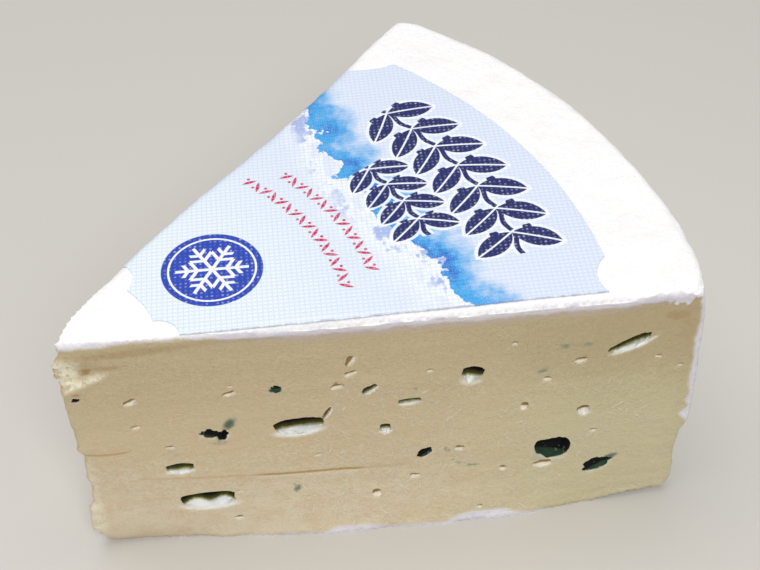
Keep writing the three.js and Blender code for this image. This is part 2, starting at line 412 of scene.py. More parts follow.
openings = {"near": openingsOf(nearHollows, nearDents), "far": openingsOf(farHollows, farDents)}


def hollowAt(face, along, high, under):
    # by the nearest hollow or dent: how far past its pale sill a point lies, its mould, and its bloom,
    # white under the sill that is partly mould and partly painted light
    best, found = 1.7, None
    for long, tall, turn, middle, up, white, mould, lobes, bloom in openings[face]:
        x, z = along - middle, high - up
        if abs(x) > long or abs(z) > long:
            continue
        across = (x * math.cos(turn) + z * math.sin(turn)) / long * 2
        upward = (z * math.cos(turn) - x * math.sin(turn)) / tall * 2
        far = math.hypot(across, upward)
        if far < best:
            past = (upward + 1) * tall / 2 + 0.9 * under - white * tall
            if lobes:
                past -= 0.22 * tall * (math.sin(lobes * math.pi * (across + 1) / 2) ** 2 - 0.6)
            bloomAndLight = bloom * (1 - ease(1, 1.6, far)) * (1 - ease(-0.9, -0.1, upward))
            best, found = far, (past, mould, bloomAndLight)
    return found


def facePlace(face, along, high):
    # a point on a worked cut face and the face's three directions
    forward, inwards = cuts[face]
    ideal = forward * along + up * high
    return Matrix.Translation(worked(ideal)) @ Matrix(
        (
            (forward.x, inwards.x, 0, 0),
            (forward.y, inwards.y, 0, 0),
            (0, 0, 1, 0),
            (0, 0, 0, 1),
        )
    )


def addHollow(bm, face, hollow, seed):
    style = hollowStyle
    made = bmesh.ops.create_uvsphere(bm, u_segments=style["around"], v_segments=style["down"], radius=1)
    rough, lobes = hollow["rough"], hollow["lobes"]
    for vert in made["verts"]:
        c = vert.co.copy()
        swell = 1 + rough * grain(c.x * 1.6 + seed, c.y * 1.6, c.z * 1.6)
        swell += rough * 0.5 * grain(c.x * 4.5, c.y * 4.5 + seed, c.z * 4.5)
        x, y, z = c.x * swell, c.y * swell, c.z * swell
        if z > 0:
            z = z ** hollow["roof"]
        else:
            # the floor slopes up to the cut
            y *= 1 + 0.6 * max(z, -1)
            x *= 1 + hollow["taper"] * z
            if lobes:
                heave = math.sin(lobes * math.pi * (c.x + 1) / 2) ** 2
                z *= 1 - 0.55 * heave * ease(0.1, 0.6, abs(c.y))
        vert.co = Vector((x * hollow["long"] / 2, y * hollow["deep"], z * hollow["tall"] / 2))
    tilt = Matrix.Rotation(math.radians(-hollow["turn"]), 4, "Y")
    place = facePlace(face, hollow["along"], hollow["up"])
    bmesh.ops.transform(bm, matrix=place @ tilt, verts=made["verts"])


def rindOnCut(face, where, z, skins):
    # how thick the rind shows on a cut face, where it is nearest to the top, the side or the base
    fromTop, fromSide, fromBase = skins
    if face == "far":
        thick = 0.95 + 0.5 * grain(where / 3, z / 3, 80)
        return thick if fromTop < min(fromSide, fromBase) else 0.6 * thick
    if fromTop <= min(fromSide, fromBase):
        flakes = 2.8 * ease(83.5, 86, where) * max(grain(where * 1.6, z * 1.6, 74) + 0.3, 0)
        return 0.3 + 0.6 * (1 - ease(6, 11, where)) + 0.9 * ease(17, 27, where) + flakes
    if fromSide < fromBase:
        band = 0.35 * ease(20, 23, z) + 0.6 * ease(22, 27, z) * (1 - ease(35, 41, z))
        lumps = 1.5 * hump(z, 19.3, 1.2) + 0.6 * hump(z, 22.2, 0.8)
        return 0.3 * ease(15, 19, z) - 0.1 + band + lumps
    left = ease(33, 38, where) * (1 - ease(41, 46, where))
    right = ease(53, 58, where) * (1 - ease(62, 67, where))
    return 0.1 + 0.3 * ease(20, 26, where) * (1 - ease(66, 72, where)) + 0.7 * left + 1.2 * right


def addDent(bm, face, dent, seed):
    along, high, long, tall, turn = dent
    style = hollowStyle
    deep = style["dentDeep"] * min(tall, 1.2)
    made = bmesh.ops.create_uvsphere(
        bm, u_segments=style["dentAround"], v_segments=style["dentDown"], radius=1
    )
    for vert in made["verts"]:
        c = vert.co
        swell = 1 + 0.35 * grain(c.x * 1.4 + seed, c.y * 1.4, c.z * 1.4)
        vert.co = Vector((c.x * swell * long / 2, c.y * deep, c.z * swell * tall / 2))
    tilt = Matrix.Rotation(math.radians(-turn), 4, "Y")
    bmesh.ops.transform(bm, matrix=facePlace(face, along, high) @ tilt, verts=made["verts"])


def objectOf(name, bm):
    mesh = bpy.data.meshes.new(name)
    bm.to_mesh(mesh)
    bm.free()
    made = bpy.data.objects.new(name, mesh)
    bpy.context.scene.collection.objects.link(made)
    return made


def applyModifiers(item):
    depsgraph = bpy.context.evaluated_depsgraph_get()
    mesh = bpy.data.meshes.new_from_object(item.evaluated_get(depsgraph))
    item.modifiers.clear()
    item.data = mesh


def cutAway(item, cutter):
    boolean = item.modifiers.new("cut", "BOOLEAN")
    boolean.operation = "DIFFERENCE"
    boolean.solver = "MANIFOLD"
    boolean.object = cutter
    applyModifiers(item)
    bpy.data.objects.remove(cutter)


def putInPlace(item):
    # from millimetres about the wheel's middle to metres in the model's frame
    item.data.transform(Matrix.Scale(mm, 4) @ Matrix.Translation(centre))


def turned(bm, angle, steps, closed):
    # all that is drawn so far, turned about the wheel's axis
    geometry = bm.verts[:] + bm.edges[:]
    bmesh.ops.spin(
        bm, geom=geometry, cent=(0, 0, 0), axis=up, angle=angle, steps=steps, use_merge=closed
    )


def keepInside(bm, point, inwards):
    # what lies outside the cut through a point goes
    geometry = bm.verts[:] + bm.edges[:] + bm.faces[:]
    return bmesh.ops.bisect_plane(
        bm, geom=geometry, dist=1e-5, plane_co=point, plane_no=-inwards, clear_outer=True
    )


def cheeseBlank():
    # half the wheel's section, turned right round, then cut twice
    bm = bmesh.new()
    radius, height = wheel["radius"], wheel["height"]
    corners = [bm.verts.new(c) for c in ((0, 0, 0), (radius, 0, 0), (radius, 0, height), (0, 0, height))]
    for first, second in zip(corners, corners[1:]):
        bm.edges.new((first, second))
    for corner, shoulder in ((corners[1], wheel["baseShoulder"]), (corners[2], wheel["topShoulder"])):
        bmesh.ops.bevel(
            bm, geom=[corner], offset=shoulder, segments=8, profile=0.5, affect="VERTICES", material=-1
        )
    turned(bm, math.tau, wheel["steps"], True)
    bmesh.ops.remove_doubles(bm, verts=bm.verts, dist=1e-4)
    for inwards in (nearIn, farIn):
        cut = keepInside(bm, (0, 0, 0), inwards)
        rim = [g for g in cut["geom_cut"] if isinstance(g, bmesh.types.BMEdge)]
        bmesh.ops.holes_fill(bm, edges=rim, sides=0)
    tip = [e for e in bm.edges if all(math.hypot(v.co.x, v.co.y) < 0.01 for v in e.verts)]
    bmesh.ops.bevel(
        bm, geom=tip, offset=wheel["tipRound"], segments=6, profile=0.5, affect="EDGES", material=-1
    )
    bmesh.ops.recalc_face_normals(bm, faces=bm.faces)
    return objectOf("cheese", bm)


def makeCheese():
    cheese = cheeseBlank()
    remesh = cheese.modifiers.new("even", "REMESH")
    remesh.mode = "VOXEL"
    remesh.voxel_size = surface["voxel"]
    applyModifiers(cheese)
    print("cheese: remeshed", len(cheese.data.vertices))
    for vert in cheese.data.vertices:
        vert.co = worked(vert.co)
    # neighbouring hollows overlap, so they are cut in turns, and the dents last
    first, second = bmesh.new(), bmesh.new()
    for face, hollows in (("near", nearHollows), ("far", farHollows)):
        for index, hollow in enumerate(hollows):
            addHollow(first if index % 2 == 0 else second, face, hollow, 3.7 * index)
    third = bmesh.new()
    for face, dents in (("near", nearDents), ("far", farDents)):
        for index, dent in enumerate(dents):
            addDent(third, face, dent, 2.3 * index)
    for bm in (first, second, third):
        bmesh.ops.recalc_face_normals(bm, faces=bm.faces)
        cutAway(cheese, objectOf("hollows", bm))
    print("cheese: hollows cut", len(cheese.data.vertices))
    return cheese


def spotAmount(along, high, spot):
    # how strong a soft oval patch is at a point
    x, z = along - spot[0], high - spot[1]
    turn = math.radians(spot[4])
    across = (x * math.cos(turn) + z * math.sin(turn)) / (spot[2] / 2)
    upward = (z * math.cos(turn) - x * math.sin(turn)) / (spot[3] / 2)
    far = math.hypot(across, upward)
    return spot[5] * (1 - ease(0.3, 1.5, far))


def paintCheese(cheese):
    # what the material reads: rind, depth under the skin, hollows, mould, stains, tan patches with painted
    # shade on some dents' upper rims, and crumbs with a painted highlight along the ledge
    mesh = cheese.data
    names = ("rind", "cut", "depth", "hollow", "past", "mould", "bloom", "stain", "tan", "crumbAndLedgeLight")
    layers = {name: [0.0] * len(mesh.vertices) for name in names}
    stains = {"near": nearStains, "far": farStains}
    for index, vert in enumerate(mesh.vertices):
        p = vert.co
        s, d = p.dot(nearAlong), p.dot(nearIn)
        t, e = p.dot(farAlong), p.dot(farIn)
        skins = skinDepths(p, d, e)
        depth = min(skins)
        nearDepth = d + footOut(s, p.z) + nearFace(s, p.z)
        farDepth = e + farSwell(t) + farFace(t, p.z)
        face, where = ("near", s) if nearDepth < farDepth else ("far", t)
        under = max(min(nearDepth, farDepth), 0)
        onCut = 1 if depth > 1.8 else 1 - ease(0.4, 1.2, under)
        thick = surface["rind"] + (rindOnCut(face, where, p.z, skins) - surface["rind"]) * onCut
        layers["rind"][index] = thick - depth
        layers["cut"][index] = onCut * (1 - ease(0.3, 0.8, abs(vert.normal.z)))
        layers["depth"][index] = depth
        found = hollowAt(face, where, p.z, under) if depth > 1.5 else None
        if found:
            layers["hollow"][index] = under
            layers["past"][index], layers["mould"][index], layers["bloom"][index] = found
        if depth > 0.4:
            layers["stain"][index] = max(spotAmount(where, p.z, spot) for spot in stains[face])
        # tan along the lowest 2 mm
        layers["tan"][index] = 0.5 * (1 - ease(0.2, 1.8, p.z))
        if face == "near":
            tan = max(spotAmount(s, p.z, spot) for spot in nearTansAndDentShade)
            layers["tan"][index] = max(tan, layers["tan"][index])
            crumbAndLedgeLight = (1 - ease(1.5, 4, s)) * ease(36.8, 37.8, p.z) * (1 - ease(42, 43.4, p.z))
            # painted highlight: a pale streak along the ledge under the broken flake
            ledge = hump(p.z, ledgeLine(s) + 0.2, 0.5) * (1 - ease(5, 7.5, s))
            # paler along the tip's edge, from 1 to 23 mm up
            edge = 0.5 * (1 - ease(0.8, 2.4, s)) * ease(1, 4, p.z) * (1 - ease(20, 23, p.z))
            layers["crumbAndLedgeLight"][index] = max(crumbAndLedgeLight, ledge, edge)
    for name in names:
        mesh.attributes.new(name, "FLOAT", "POINT").data.foreach_set("value", layers[name])


# nodes, and sums on their sockets
class Wire:
    # a socket that can be reckoned with
    def __init__(self, board, socket):
        self.board = board
        self.socket = socket

    def maths(self, operation, *values):
        return self.board.node("ShaderNodeMath", {"operation": operation}, dict(enumerate(values)))

    def __add__(self, other):
        return self.maths("ADD", self, other)

    def __radd__(self, other):
        return self.maths("ADD", other, self)

    def __sub__(self, other):
        return self.maths("SUBTRACT", self, other)

    def __rsub__(self, other):
        return self.maths("SUBTRACT", other, self)

    def __mul__(self, other):
        return self.maths("MULTIPLY", self, other)

    def __rmul__(self, other):
        return self.maths("MULTIPLY", other, self)

    def __truediv__(self, other):
        return self.maths("DIVIDE", self, other)

    def __pow__(self, other):
        return self.maths("POWER", self, other)

    def __mod__(self, other):
        return self.maths("FLOORED_MODULO", self, other)

    def __abs__(self):
        return self.maths("ABSOLUTE", self)

    def sine(self):
        return self.maths("SINE", self)

    def cosine(self):
        return self.maths("COSINE", self)

    def exponent(self):
        return self.maths("EXPONENT", self)

    def heading(self, other):
        # the angle of the direction (self, other)
        return self.maths("ARCTAN2", other, self)

    def least(self, other):
        return self.maths("MINIMUM", self, other)

    def most(self, other):
        return self.maths("MAXIMUM", self, other)

    def ramp(self, low, high):
        # 0 at low, 1 at high, eased between, either way round
        ends = {1: low, 2: high, 3: 0.0, 4: 1.0} if low < high else {1: high, 2: low, 3: 1.0, 4: 0.0}
        settings = {"interpolation_type": "SMOOTHSTEP"}
        return self.board.node("ShaderNodeMapRange", settings, {0: self, **ends})


class Board:
    # one material's nodes
    def __init__(self, name):
        self.material = bpy.data.materials.new(name)
        self.material.use_nodes = True
        self.tree = self.material.node_tree
        self.tree.nodes.clear()

    def node(self, kind, settings=None, sockets=None, out=0):
        made = self.tree.nodes.new(kind)
        for key, value in (settings or {}).items():
            setattr(made, key, value)
        for key, value in (sockets or {}).items():
            if isinstance(value, Wire):
                self.tree.links.new(value.socket, made.inputs[key])
            else:
                made.inputs[key].default_value = value
        return Wire(self, made.outputs[out])

    def attribute(self, name):
        return self.node("ShaderNodeAttribute", {"attribute_name": name}, out="Fac")

    def mix(self, share, first, second):
        colours = [c if isinstance(c, Wire) else (*c, 1.0) for c in (first, second)]
        sockets = {0: share, 6: colours[0], 7: colours[1]}
        return self.node("ShaderNodeMix", {"data_type": "RGBA"}, sockets, out=2)

    def place(self):
        # millimetres from the wheel's middle, x along the near cut, y into the wedge
        here = self.node("ShaderNodeTexCoord", out="Object")
        spot = self.mapped(here, Location=-centre, Scale=(1 / mm, 1 / mm, 1 / mm))
        return self.mapped(spot, Rotation=(0, 0, -nearHeading))

    def mapped(self, spot, **sockets):
        return self.node("ShaderNodeMapping", {}, {"Vector": spot, **sockets})

    def cloud(self, spot, size, detail=2.0, roughness=0.5):
        # soft noise about 0, one blob about so many millimetres across
        sockets = {"Vector": spot, "Scale": 1 / size, "Detail": detail, "Roughness": roughness}
        return self.node("ShaderNodeTexNoise", {}, sockets) - 0.5

    def parts(self, vector):
        split = self.node("ShaderNodeSeparateXYZ", {}, {0: vector})
        return [Wire(self, split.socket.node.outputs[i]) for i in range(3)]

    def bump(self, height, millimetres):
        sockets = {"Height": height, "Distance": millimetres * mm, "Strength": 1.0}
        return self.node("ShaderNodeBump", {}, sockets)

    def finish(self, sockets):
        shader = self.node("ShaderNodeBsdfPrincipled", {}, sockets)
        output = self.tree.nodes.new("ShaderNodeOutputMaterial")
        self.tree.links.new(shader.socket, output.inputs["Surface"])
        return self.material


def shade(red, green, blue):
    # a colour as a painter's chart gives it, 0 to 255, made linear
    def linear(c):
        c = c / 255
        return c / 12.92 if c <= 0.04045 else ((c + 0.055) / 1.055) ** 2.4

    return (linear(red), linear(green), linear(blue))


# the cheese's colours
cheeseLook = {
    "paste": shade(209, 192, 157),
    "pale": shade(223, 210, 181),
    "blush": shade(216, 187, 152),
    "sage": shade(206, 198, 160),
    "browningAndShade": shade(186, 169, 130),
    # painted shade under the top rind
    "shadeUnderRim": shade(194, 178, 168),
    "tan": shade(160, 120, 66),
    "line": shade(188, 150, 94),
    "haze": shade(182, 182, 132),
    "sillWhiteAndLight": shade(254, 254, 248),
    "brownRoofShade": shade(150, 122, 68),
    "shadedOlive": shade(84, 78, 28),
    "rind": shade(250, 248, 247),
    "rindShade": shade(240, 234, 230),
    "rindCutShade": shade(222, 218, 228),
    "mouldLight": shade(128, 144, 124),
    "mouldTeal": shade(34, 62, 50),
    "moss": shade(46, 74, 52),
    "mouldAndDeepShade": shade(6, 9, 6),
    "crumbAndLedgeLight": shade(244, 237, 212),
    "paleScratchAndLight": shade(238, 228, 206),
}


def cheeseMaterial():
    look = cheeseLook
    board = Board("cheesePasteAndRind")
    spot = board.place()
    along, inward, high = board.parts(spot)
    rind = board.attribute("rind")
    depth = board.attribute("depth")
    hollow = board.attribute("hollow")
    past = board.attribute("past")
    height = wheel["height"]
    # paste, darker and browner under the rind; darker towards the upper rim, partly painted shade and
    # partly browning; and palest at the foot by the tip, painted light where the bulging foot faces up
    tone = board.cloud(spot, 16, 3.0)
    blush = board.cloud(spot, 4, 4.0, 0.75)
    fine = board.cloud(spot, 0.9, 3.0, 0.65)
    grit = board.cloud(spot, 0.32, 2.0, 0.6)
    streak = board.cloud(board.mapped(spot, Scale=(0.08, 1, 0.9)), 1.6, 3.0, 0.6)
    # painted light: paler low on the face, most of all by the tip
    foot = (high + tone * 12).ramp(0.6 * height, 0.1 * height) * (0.5 + along.ramp(70, 20) * 0.5)
    paleToneAndFootLight = foot * 0.9 + tone * 0.8 + streak * 0.6 + fine * 1.5 + grit * 1.6
    paste = board.mix(paleToneAndFootLight.ramp(0, 1), look["paste"], look["pale"])
    paste = board.mix((blush * 4 + 0.3).ramp(0, 1) * 0.55, paste, look["blush"])
    paste = board.mix((along + tone * 16).ramp(42, 82) * (0.75 + blush), paste, look["sage"])
    # painted shade, with some browning: darker high on the face and towards its upper right corner
    shadeAndBrowningAbove = (high + tone * 14).ramp(0.35 * height, 0.92 * height) * 0.55
    shadeAndBrowningAbove = shadeAndBrowningAbove + (along + tone * 20).ramp(50, 92) * high.ramp(0.2 * height, 0.9 * height) * 0.45
    paste = board.mix((shadeAndBrowningAbove + fine * 0.6 - grit * 0.7).ramp(0, 1), paste, look["browningAndShade"])
    band = depth.ramp(4.2, 1.2) * (0.7 + tone * 1.6 + streak * 1.4).ramp(0, 1.3) * high.ramp(6, 16)
    paste = board.mix(band * 0.45, paste, look["browningAndShade"])
    nearCut = inward.ramp(3, 1.5)
    # painted shade: a soft greyish band just under the top rind on the near cut
    shadeUnderRim = depth.ramp(3.1, 1.5) * high.ramp(0.82 * height, 0.9 * height) * nearCut
    shadeUnderRim = shadeUnderRim * along.ramp(20, 28) * along.ramp(87, 83)
    paste = board.mix(shadeUnderRim * (0.65 + streak * 2).ramp(0, 1), paste, look["shadeUnderRim"])
    # tan patches, with painted shade on the upper rims of some dents
    tan = (board.attribute("tan") + fine * 0.5).ramp(0.15, 1.1)
    paste = board.mix(tan * 0.8, paste, look["tan"])
    # crumbs by the tip, and a painted highlight along the ledge
    crumbAndLedgeLight = board.attribute("crumbAndLedgeLight")
    paste = board.mix(crumbAndLedgeLight * (fine * 4 + 0.75).ramp(0, 0.8), paste, look["crumbAndLedgeLight"])
    # scratches that the knife's edge dragged, and its drag lines, each a thin painted shadow with a painted
    # highlight under the long one
    scratches = None
    for turn, seed in ((0.6, 3.0), (-0.75, 11.0), (1.25, 23.0)):
        moved = board.mapped(spot, Location=(seed, seed, 0), Rotation=(0, turn, 0))
        stroke = board.cloud(board.mapped(moved, Scale=(0.3, 1, 2.8)), 1.0, 1.0).ramp(0.14, 0.21)
        scratches = stroke if scratches is None else scratches.most(stroke)
    worn = board.cloud(spot, 11, 1.0) + along.ramp(20, 45) * 0.3 - 0.2 - high.ramp(28, 36) * 0.25
    scratches = scratches * worn.ramp(-0.05, 0.15) * nearCut
    paste = board.mix(scratches * 0.6, paste, look["paleScratchAndLight"])
    waver = board.cloud(spot, 9, 1.0) * 0.8
    fall = (knife["lineStart"] - along) / knife["lineFall"]
    off = high - knife["line"] - knife["lineRise"] * fall.exponent() + waver
    bold = along.ramp(24, 27.5) * along.ramp(42.5, 40)
    # painted shadow: the drag lines stand in for the shade of a fine step in the cut
    line = abs(off).ramp(0.42, 0.14) * along.ramp(7, 9) * along.ramp(51, 46) * (bold * 0.7 + 0.25)
    # painted highlight: a pale band just under the long drag line
    below = off.ramp(-1.6, -0.3) * off.ramp(-0.1, -0.4) * bold
    bend = (along - knife["shortMiddle"]) * 0.19
    short = abs(high - knife["shortLine"] - bend * bend + waver * 0.3).ramp(0.34, 0.1)
    short = short * along.ramp(0.6, 1.4) * along.ramp(8, 6.4)
    paste = board.mix(below * nearCut * 0.5, paste, look["paleScratchAndLight"])
    paste = board.mix(line.most(short * 0.7) * nearCut, paste, look["line"])
    # mould that shows on the cut
    patchy = board.cloud(spot, 0.8, 3.0, 0.7)
    stain = board.attribute("stain") + patchy * 0.8
    stainColour = board.mix(stain.ramp(0.55, 1.05), look["mouldLight"], look["mouldTeal"])
    paste = board.mix(stain.ramp(0.18, 0.8) * 0.85, paste, stainColour)
    # a hollow: a white sill, partly white mould and partly painted light where it faces up, that blooms
    # onto the cut; painted shade under its roof, brown in a dent, olive going to black with the mould in a
    # pocket
    # white spreading under a sill onto the cut, partly white mould and partly painted light
    paste = board.mix((board.attribute("bloom") * (1 + patchy * 1.5)).ramp(0, 0.85), paste, look["sillWhiteAndLight"])
    mould = board.attribute("mould")
    mossy = (mould + patchy * 0.5).ramp(1.05, 1.3)
    specks = mossy * patchy.ramp(0.1, 0.18)
    # the sill: white, partly mould and partly painted light on its up-facing floor
    floor = board.mix(mould.ramp(0.15, 0.05) * 0.8, look["sillWhiteAndLight"], look["paleScratchAndLight"])
    floor = board.mix(mossy, floor, look["moss"])
    # painted shade under the roof, deepening into the hollow, mixed with the mould's own olive and black
    deep = (past + patchy * 0.6).ramp(0.2, 1.1)
    shadow = board.mix(deep.most(mossy), look["shadedOlive"], look["mouldAndDeepShade"])
    shadow = board.mix(mould.ramp(0.3, 0.1), shadow, look["brownRoofShade"])
    # a greenish haze between the sill and the roof's shade where there is mould
    hazy = (past + patchy * 0.5).ramp(-0.5, -0.1) * (1 - mossy) * mould.ramp(0.1, 0.4)
    floor = board.mix(hazy, floor, look["haze"])
    wall = board.mix((past + patchy * 0.5).ramp(-0.2, 0.25), floor, shadow)
    wall = board.mix(specks * past.ramp(1.2, 0.4) * 0.8, wall, look["mouldLight"])
    paste = board.mix(hollow.ramp(0.02, 0.2), paste, wall)
    # rind
    ragged = board.cloud(spot, 2.2, 3.0, 0.65)
    cut = board.attribute("cut")
    hard = (rind + ragged * 0.9).ramp(-0.14, 0.14)
    soft = (rind + ragged * 1.2).ramp(-0.5, 0.35)
    isRind = hard * (1 - cut) + soft * cut
    bloom = board.cloud(spot, 5, 4.0, 0.6)
    skin = board.mix((bloom * 2 + 0.2).ramp(0, 1) * 0.6, look["rind"], look["rindShade"])
    # painted shade: the rind is greyer and more lavender where it shows on the upright cut faces
    skin = board.mix(cut * (0.8 + ragged * 1.5), skin, look["rindCutShade"])
    colour = board.mix(isRind, paste, skin)
    rough = 0.5 + isRind * 0.38 + fine * 0.15 + hollow.ramp(0.02, 0.2) * 0.4
    # relief
    dragged = streak * 0.12 + fine + grit * 0.4 + scratches * 0.3
    velvet = board.cloud(spot, 0.5, 4.0, 0.7) * 0.9 + board.cloud(spot, 1.8, 3.0) * 1.4
    relief = dragged * (1 - isRind) + velvet * isRind
    return board.finish(
        {
            "Base Color": colour,
            "Roughness": rough,
            "Normal": board.bump(relief, 0.2),
            "Subsurface Weight": 0.15,
            "Subsurface Radius": (1.0, 0.75, 0.4),
            "Subsurface Scale": 0.001,
            "Specular IOR Level": 0.4,
        }
    )


# the paper label, whose edge by the near cut is turned a little inwards
labelNearIn = Matrix.Rotation(label["nearTurn"], 3, "Z") @ nearIn


def labelSheet():
    # a radial line swept from cut to cut, trimmed along both cuts and given its thickness
    bm = bmesh.new()
    line = [bm.verts.new(nearAlong * label[key]) for key in ("inner", "outer")]
    edge = bm.edges.new(line)
    rings = round((label["outer"] - label["inner"]) / label["cell"])
    bmesh.ops.subdivide_edges(bm, edges=[edge], cuts=rings - 1)
    steps = round(wheel["angle"] * label["outer"] / label["cell"])
    turned(bm, wheel["angle"], steps, False)
    for inwards in (labelNearIn, farIn):
        keepInside(bm, inwards * label["reveal"], inwards)
    bmesh.ops.remove_doubles(bm, verts=bm.verts, dist=1e-3)
    bmesh.ops.recalc_face_normals(bm, faces=bm.faces)
    if sum(f.normal.z for f in bm.faces) > 0:
        bmesh.ops.reverse_faces(bm, faces=bm.faces)
    bmesh.ops.solidify(bm, geom=bm.faces[:], thickness=label["paper"])
    bmesh.ops.recalc_face_normals(bm, faces=bm.faces)
    return objectOf("printed_label", bm)


def scallopPunch():
    # round cutters for the label's four corners
    bm = bmesh.new()
    for scallop in scallops:
        forward, inwards = cuts[scallop["cut"]]
        place = forward * (label[scallop["edge"]] + scallop["out"]) + inwards * scallop["within"]
        radius = scallop["radius"]
        spot = Matrix.Translation(place)
        bmesh.ops.create_cone(
            bm, cap_ends=True, segments=64, radius1=radius, radius2=radius, depth=4, matrix=spot
        )
    return objectOf("punch", bm)


def makeLabel():
    # the sheet follows the worked top, and "rim" is how far a point is from the nearer cut edge
    sheet = labelSheet()
    cutAway(sheet, scallopPunch())
    mesh = sheet.data
    lowest = min(v.co.z for v in mesh.vertices)
    rim = []
    for vert in mesh.vertices:
        p = vert.co
        rim.append(min(p.dot(labelNearIn), p.dot(farIn)) - label["reveal"])
        lifted = p.z - lowest + label["gap"]
        onTop = worked(Vector((p.x, p.y, wheel["height"])))
        vert.co = onTop + up * lifted
    mesh.attributes.new("rim", "FLOAT", "POINT").data.foreach_set("value", rim)
    return sheet


labelPrint = {
    "paper": shade(221, 230, 244),
    "paperTip": shade(230, 239, 243),
    "weave": shade(196, 204, 230),
    "navy": shade(28, 38, 100),
    "royal": shade(32, 66, 176),
    "azure": shade(18, 104, 200),
    "cyan": shade(44, 160, 226),
    "slope": shade(142, 164, 220),
    "red": shade(205, 28, 74),
    "white": shade(248, 250, 253),
    # painted shade along the paper's cut edges
    "edge": shade(128, 126, 158),
    "thread": 0.72,  # from one pressed thread to the next
    # ornament rows: their ends and the pitch in degrees from the near cut, the rest in millimetres
    "leafRows": (
        {"from": 8.5, "to": 41.75, "pitch": 4.75, "radius": 66.6, "tall": 12.8},
        {"from": 16, "to": 34.4, "pitch": 4.6, "radius": 55.4, "tall": 10.6},
    ),
    "redRows": (
        {"from": 8, "to": 48, "pitch": 2.35, "radius": 41, "tall": 2.3},
        {"from": 11, "to": 43.5, "pitch": 2.15, "radius": 45.4, "tall": 2.3},
    ),
    "medallion": {
        "along": 22.1,
        "inward": 12.05,
        "radius": 7.25,
        "ringOuter": 6.35,
        "ringInner": 5.95,
        "crystal": 4.9,
    },
}


def leaf(x, y, long, wide, tilt):
    # below 0 inside a leaf that is pointed at both ends
    c, s = math.cos(math.radians(tilt)), math.sin(math.radians(tilt))
    along = x * s + y * c
    across = abs(x * c - y * s)
    offset = (long * long - wide * wide) / (4 * wide)
    radius = (long * long + wide * wide) / (4 * wide)
    return ((across + offset) ** 2 + along * along) ** 0.5 - radius


def vein(x, y, tilt):
    # how far a point is from the leaf's middle line
    c, s = math.cos(math.radians(tilt)), math.sin(math.radians(tilt))
    return abs(x * c - y * s)


def rowPlace(turn, r, row):
    # a row's running number, the share of its cell, the place in the cell, and where the row runs
    cells = (turn - row["from"]) / row["pitch"]
    cell = cells % 1.0
    x = (cell - 0.5) * (math.radians(row["pitch"]) * row["radius"])
    y = r - row["radius"]
    starts = turn.ramp(row["from"] - 0.02, row["from"] + 0.02)
    return cells, cell, x, y, starts * turn.ramp(row["to"] + 0.02, row["to"] - 0.02)


def garland(turn, r, row):
    # a laurel branch along an arc: the ink's distance, the veins' distance and where the row runs
    _, cell, x, y, within = rowPlace(turn, r, row)
    lift = row["tall"] * 0.25
    long, wide, tilt = row["tall"] * 0.57, row["tall"] * 0.29, 31
    ink = leaf(x, y - lift, long, wide, -tilt).least(leaf(x, y + lift, long, wide, tilt))
    veins = vein(x, y - lift, -tilt).least(vein(x, y + lift, tilt))
    stem = abs(y + (cell * math.tau).sine() * 0.3) - 0.4
    berry = ((x - 2.3) ** 2 + (abs(y) - row["tall"] * 0.2) ** 2) ** 0.5 - 0.7
    return ink.least(stem).least(berry), veins, within


def redRow(turn, r, row):
    # slanting strokes, each with a dot, that lean to and fro
    cells, cell, x, y, within = rowPlace(turn, r, row)
    flip = (cells - cell) % 2.0 * 2 - 1
    ink = leaf(x, y * flip, row["tall"], row["tall"] * 0.24, 32)
    dot = ((x - 0.55) ** 2 + (y * flip + 0.5) ** 2) ** 0.5 - 0.24
    return ink.least(dot).ramp(0.07, -0.07) * within


def crystal(x, y, size):
    # a six-armed ice crystal
    turn = x.heading(y)
    r = (x * x + y * y) ** 0.5
    sixth = math.pi / 3
    folded = abs((turn + sixth / 2) % sixth - sixth / 2)
    along = r * folded.cosine()
    across = r * folded.sine()
    arm = across.most(along - size)
    for at, length in ((0.42, 0.3), (0.68, 0.2)):
        branch = abs((along - at * size) * math.sin(sixth) - across * math.cos(sixth))
        arm = arm.least(branch.most(across - length * size))
    return arm.ramp(0.3, 0.2)


